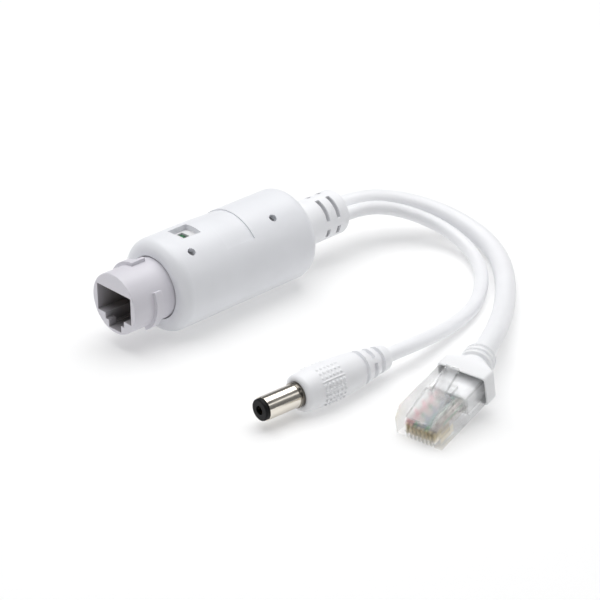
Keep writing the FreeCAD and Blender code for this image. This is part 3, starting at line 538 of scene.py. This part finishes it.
def grip_stations():
    """Distances from the tip for the grip's rings, closer where there is detail."""
    first, last = GRIP_PROFILE[0][0], GRIP_PROFILE[-1][0]
    places = set()
    for i in range(GRIP_END_STEPS + 1):
        share = 1 - math.cos(i * math.pi / (2 * GRIP_END_STEPS))
        places.add(GRIP_START + (first - GRIP_START) * share)
        places.add(DC_PLUG_LENGTH - (DC_PLUG_LENGTH - last) * share)
    t = first
    while t < last:
        places.add(round(t, 4))
        in_dots = DOT_T[0] - 0.8 < t < DOT_T[1] + 0.7
        t += GRIP_DOT_STEP if in_dots else GRIP_PLAIN_STEP
    for x in GRIP_RINGS + (GRIP_SPLIT_RING,):
        for side in (-1, 1):
            for away in GROOVE_STATIONS:
                places.add(x + side * (GRIP_RING_W / 2 + away))
    ordered = sorted(places)
    kept = [ordered[0]]
    for place in ordered[1:]:
        if place - kept[-1] > GRIP_CLOSEST:
            kept.append(place)
    return kept


def bridge(mesh, a, b):
    """Faces between two rings with the same number of vertices."""
    for i in range(len(a)):
        j = (i + 1) % len(a)
        mesh.faces.new((a[i], a[j], b[j], b[i]))


def add_grip(materials):
    """The DC plug's moulded grip, as one turned skin with a hole for the barrel."""
    to_row = dc_plug_matrix()
    mesh = bmesh.new()
    rings = []

    def ring(t, radius_of):
        made = []
        for i in range(GRIP_SEGMENTS):
            phi = 360.0 * i / GRIP_SEGMENTS
            cosine = math.cos(math.radians(phi))
            radius = radius_of(phi)
            if cosine < 0.0:
                radius = min(radius, GRIP_LIFT / -cosine)
            place = Vector((t, -radius * math.sin(math.radians(phi)), radius * cosine))
            made.append(mesh.verts.new(to_row @ place))
        return made

    rings.append(ring(GRIP_START + 1.2, lambda phi: GRIP_BORE_R))
    rings.append(ring(GRIP_START + 0.05, lambda phi: GRIP_BORE_R))
    rings.append(ring(GRIP_START, lambda phi: GRIP_BORE_R + 0.05))
    for t in grip_stations():
        base = grip_outline_radius(t)
        rings.append(ring(t, lambda phi: (base - groove_depth(t, phi)
                                          + dot_height(t, phi, base))))
    for a, b in zip(rings, rings[1:]):
        bridge(mesh, a, b)
    mesh.faces.new(rings[-1][::-1])
    mesh.faces.new(rings[0])
    bmesh.ops.recalc_face_normals(mesh, faces=mesh.faces)
    return piece_from(mesh, "dc_grip", "grip_white", materials, "dc_plug_grip")


def piece_from(mesh, name, slot, materials, *nodes):
    """A smooth-shaded piece that rides on the unit and stands for CAD nodes."""
    data = bpy.data.meshes.new(name)
    mesh.to_mesh(data)
    mesh.free()
    for polygon in data.polygons:
        polygon.use_smooth = True
    data.set_sharp_from_angle(angle=math.radians(SHARP_ANGLE))
    obj = bpy.data.objects.new(name, data)
    bpy.context.scene.collection.objects.link(obj)
    data.materials.append(materials[slot])
    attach(obj, ROOT)
    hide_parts(*nodes)
    return obj


# ---- modular plug boot ---------------------------------------------------------------------
BOOT_START_X = 17.2                  # along the plug's own X
BOOT_STRAIGHT_X = 20.6
BOOT_HOOD_END_X = 22.0
BOOT_MARGIN = 0.5
BOOT_BACK = (4.4, (-0.3, 7.1))       # half width and z limits where the hood ends
BOOT_NECK_R = (4.3, 3.8)
BOOT_NECK_RINGS = (1.2, 3.3, 5.4)    # groove middles, from the cord end of the neck
BOOT_NECK_LENGTH = 7.4
BOOT_NECK_FROM = 1.65                # where the neck leaves the hood
BOOT_RING_W = 0.7
BOOT_RING_DEPTH = 0.85
BOOT_RING_EDGE = 0.22                # half width of a groove's sloping side
BOOT_RING_STATIONS = (-0.22, -0.13, -0.05, 0.05, 0.13, 0.22)
BOOT_CORNER = 0.8
BOOT_BACK_CORNER = 1.6
BOOT_TAPER_CORNER = 0.85             # where the taper begins
BOOT_TAPER_SHARES = (0.12, 0.3, 0.5, 0.7, 0.88, 1.0)
BOOT_PLUG_GAP = 0.02                 # between the plug and the hood round it
BOOT_END_ROUND = 0.35
BOOT_SEGMENTS = 120
REACH_LIMIT = 40.0                   # longer than any ring's half width
HALVINGS = 40


def ring_angle(i):
    """The angle of a boot ring's vertex."""
    return 2 * math.pi * (i + 0.5) / BOOT_SEGMENTS


def rounded_ring(half_w, half_h, corner):
    """Points on a rectangle with round corners, evenly spaced by angle."""
    points = []
    for i in range(BOOT_SEGMENTS):
        dy, dz = math.cos(ring_angle(i)), math.sin(ring_angle(i))
        inner_w, inner_h = half_w - corner, half_h - corner
        low, high = 0.0, REACH_LIMIT
        for _ in range(HALVINGS):
            reach = (low + high) / 2
            out_y = max(0.0, abs(reach * dy) - inner_w)
            out_z = max(0.0, abs(reach * dz) - inner_h)
            if math.hypot(out_y, out_z) > corner or reach * max(abs(dy) / half_w,
                                                                abs(dz) / half_h) > 1.0:
                high = reach
            else:
                low = reach
        points.append((low * dy, low * dz))
    return points


def add_boot(materials):
    """The plug's boot: a flat-topped hood that narrows fast into a neck with three rings."""
    to_row = plug_matrix()
    end, before = metres(ETHERNET_ROUTE)[-1], metres(ETHERNET_ROUTE)[-2]
    out = (before - end).normalized()
    root = end - out * BOOT_NECK_LENGTH * MM
    plug_y = (to_row.to_3x3() @ Vector((0, 1, 0))).normalized()
    plug_z = (to_row.to_3x3() @ Vector((0, 0, 1))).normalized()
    neck_y = Vector((0, 0, 1)).cross(out).normalized()
    neck_z = out.cross(neck_y)
    mesh = bmesh.new()
    rings = []

    def hood_ring(x, half_w, low, high, corner):
        centre = to_row @ Vector((x, 0, (low + high) / 2))
        points = rounded_ring(half_w, (high - low) / 2, corner)
        rings.append([mesh.verts.new(centre + (plug_y * y + plug_z * z) * MM)
                      for y, z in points])

    def neck_ring(along, radius):
        centre = root + out * along * MM
        made = []
        for i in range(BOOT_SEGMENTS):
            sideways = neck_y * math.cos(ring_angle(i)) + neck_z * math.sin(ring_angle(i))
            made.append(mesh.verts.new(centre + sideways * radius * MM))
        rings.append(made)

    half, low, high = PLUG_W / 2 + BOOT_MARGIN, -BOOT_MARGIN, PLUG_H + BOOT_MARGIN
    for x in (PLUG_L, BOOT_START_X + 0.1):
        hood_ring(x, PLUG_W / 2 + BOOT_PLUG_GAP, -BOOT_PLUG_GAP, PLUG_H + BOOT_PLUG_GAP, 0.5)
    for past, inset, corner in ((0.0, 0.14, 0.7), (0.05, 0.05, 0.78)):
        hood_ring(BOOT_START_X + past, half - inset, low + inset, high - inset, corner)
    hood_ring(BOOT_START_X + 0.16, half, low, high, BOOT_CORNER)
    hood_ring(BOOT_STRAIGHT_X - 0.25, half, low, high, BOOT_CORNER)
    hood_ring(BOOT_STRAIGHT_X - 0.05, half - 0.08, low, high, 0.82)
    back_half, (back_low, back_high) = BOOT_BACK
    for share in BOOT_TAPER_SHARES:
        x = BOOT_STRAIGHT_X + (BOOT_HOOD_END_X - BOOT_STRAIGHT_X) * share
        hood_ring(x, half + (back_half - half) * share, low + (back_low - low) * share,
                  high + (back_high - high) * share,
                  BOOT_TAPER_CORNER + (BOOT_BACK_CORNER - BOOT_TAPER_CORNER) * share)
    places = []
    for groove in BOOT_NECK_RINGS:
        middle = BOOT_NECK_LENGTH - groove
        for away in BOOT_RING_STATIONS:
            places.append(middle - BOOT_RING_W / 2 + away)
            places.append(middle + BOOT_RING_W / 2 + away)
    for along in sorted(place for place in places if place > BOOT_NECK_FROM):
        share = along / BOOT_NECK_LENGTH
        radius = BOOT_NECK_R[0] + (BOOT_NECK_R[1] - BOOT_NECK_R[0]) * share
        depth = 0.0
        for groove in BOOT_NECK_RINGS:
            away = abs(along - (BOOT_NECK_LENGTH - groove))
            depth = max(depth, 1.0 - smooth_step(away, BOOT_RING_W / 2 - BOOT_RING_EDGE,
                                                 BOOT_RING_W / 2 + BOOT_RING_EDGE))
        neck_ring(along, radius - depth * BOOT_RING_DEPTH)
    for share in (0.0, 0.35, 0.7, 0.9, 1.0):
        turn = share * math.pi / 2
        neck_ring(BOOT_NECK_LENGTH - BOOT_END_ROUND + BOOT_END_ROUND * math.sin(turn),
                  BOOT_NECK_R[1] - BOOT_END_ROUND * (1 - math.cos(turn)))
    neck_ring(BOOT_NECK_LENGTH, ETHERNET_D / 2 - 0.1)
    for a, b in zip(rings, rings[1:]):
        bridge(mesh, a, b)
    for ring in (rings[0], rings[-1]):
        middle = mesh.verts.new(sum((vert.co for vert in ring), Vector()) / BOOT_SEGMENTS)
        for i in range(BOOT_SEGMENTS):
            mesh.faces.new((ring[i], ring[(i + 1) % BOOT_SEGMENTS], middle))
    bmesh.ops.recalc_face_normals(mesh, faces=mesh.faces)
    return piece_from(mesh, "modular_plug_boot", "boot_white", materials, "rj45_plug_boot")


# ---- stage, light and camera -----------------------------------------------------------------
CAMERA_TARGET = (11.48, -12.65, 0.0)
CAMERA_AZIMUTH = -44.4
CAMERA_ELEVATION = 27.75
CAMERA_DISTANCE = 500.0
CAMERA_LENS = 123.5


def add_floor():
    """A pale floor that gives off a little light of its own."""
    mesh = bmesh.new()
    bmesh.ops.create_grid(mesh, x_segments=1, y_segments=1, size=4.0)
    data = bpy.data.meshes.new("floor")
    mesh.to_mesh(data)
    mesh.free()
    floor = bpy.data.objects.new("floor", data)
    bpy.context.scene.collection.objects.link(floor)
    data.materials.append(finish("floor_white", (0.64, 0.64, 0.64), 0.8, 0.004, 0.00001,
                                 0.004, 0.2, sockets={"Emission Color": (1, 1, 1, 1),
                                                      "Emission Strength": 0.33}))


def add_area_light(name, place, aim, size, power):
    """A soft rectangular light at a place, aimed at a point."""
    data = bpy.data.lights.new(name, "AREA")
    data.shape = "RECTANGLE"
    data.size, data.size_y = size
    data.energy = power
    light = bpy.data.objects.new(name, data)
    light.location = place
    light.rotation_mode = "QUATERNION"
    light.rotation_quaternion = (Vector(aim) - Vector(place)).to_track_quat("-Z", "Y")
    bpy.context.scene.collection.objects.link(light)


def add_lights():
    """A large soft light overhead and behind, weaker fills, and a pale sky."""
    aim = (0.01, -0.03, 0.0)
    add_area_light("overhead", (0.10, 0.10, 0.75), aim, (0.9, 0.9), 7.3)
    add_area_light("right_fill", (0.65, -0.55, 0.45), aim, (0.5, 0.5), 0.8)
    add_area_light("front_fill", (-0.60, 0.34, 0.28), aim, (0.3, 0.3), 0.75)
    world = bpy.data.worlds.new("sky")
    world.use_nodes = True
    background = world.node_tree.nodes["Background"]
    background.inputs["Color"].default_value = (0.97, 0.98, 1.0, 1.0)
    background.inputs["Strength"].default_value = 0.16
    bpy.context.scene.world = world


def add_camera():
    """The camera at the view that the object is known from."""
    azimuth, elevation = math.radians(CAMERA_AZIMUTH), math.radians(CAMERA_ELEVATION)
    back = Vector((math.sin(azimuth) * math.cos(elevation),
                   -math.cos(azimuth) * math.cos(elevation), math.sin(elevation)))
    data = bpy.data.cameras.new("camera")
    data.lens = CAMERA_LENS
    data.sensor_width = 36.0
    data.clip_start = 0.01
    data.clip_end = 20.0
    camera = bpy.data.objects.new("camera", data)
    camera.location = (Vector(CAMERA_TARGET) + back * CAMERA_DISTANCE) * MM
    camera.rotation_mode = "QUATERNION"
    camera.rotation_quaternion = (-back).to_track_quat("-Z", "Y")
    bpy.context.scene.collection.objects.link(camera)
    bpy.context.scene.camera = camera


def set_view():
    """Plain display of colours, so that white stays white."""
    view = bpy.context.scene.view_settings
    view.view_transform = "Standard"
    view.look = "None"
    view.exposure = 0.0
    view.gamma = 1.0


# ---- build -----------------------------------------------------------------------------------
def main():
    materials = make_materials()
    dress_cad_nodes(materials)
    soften_edges()
    add_floor()
    add_lights()
    add_camera()
    set_view()
    cords = add_cords(materials)
    grip = add_grip(materials)
    boot = add_boot(materials)


main()
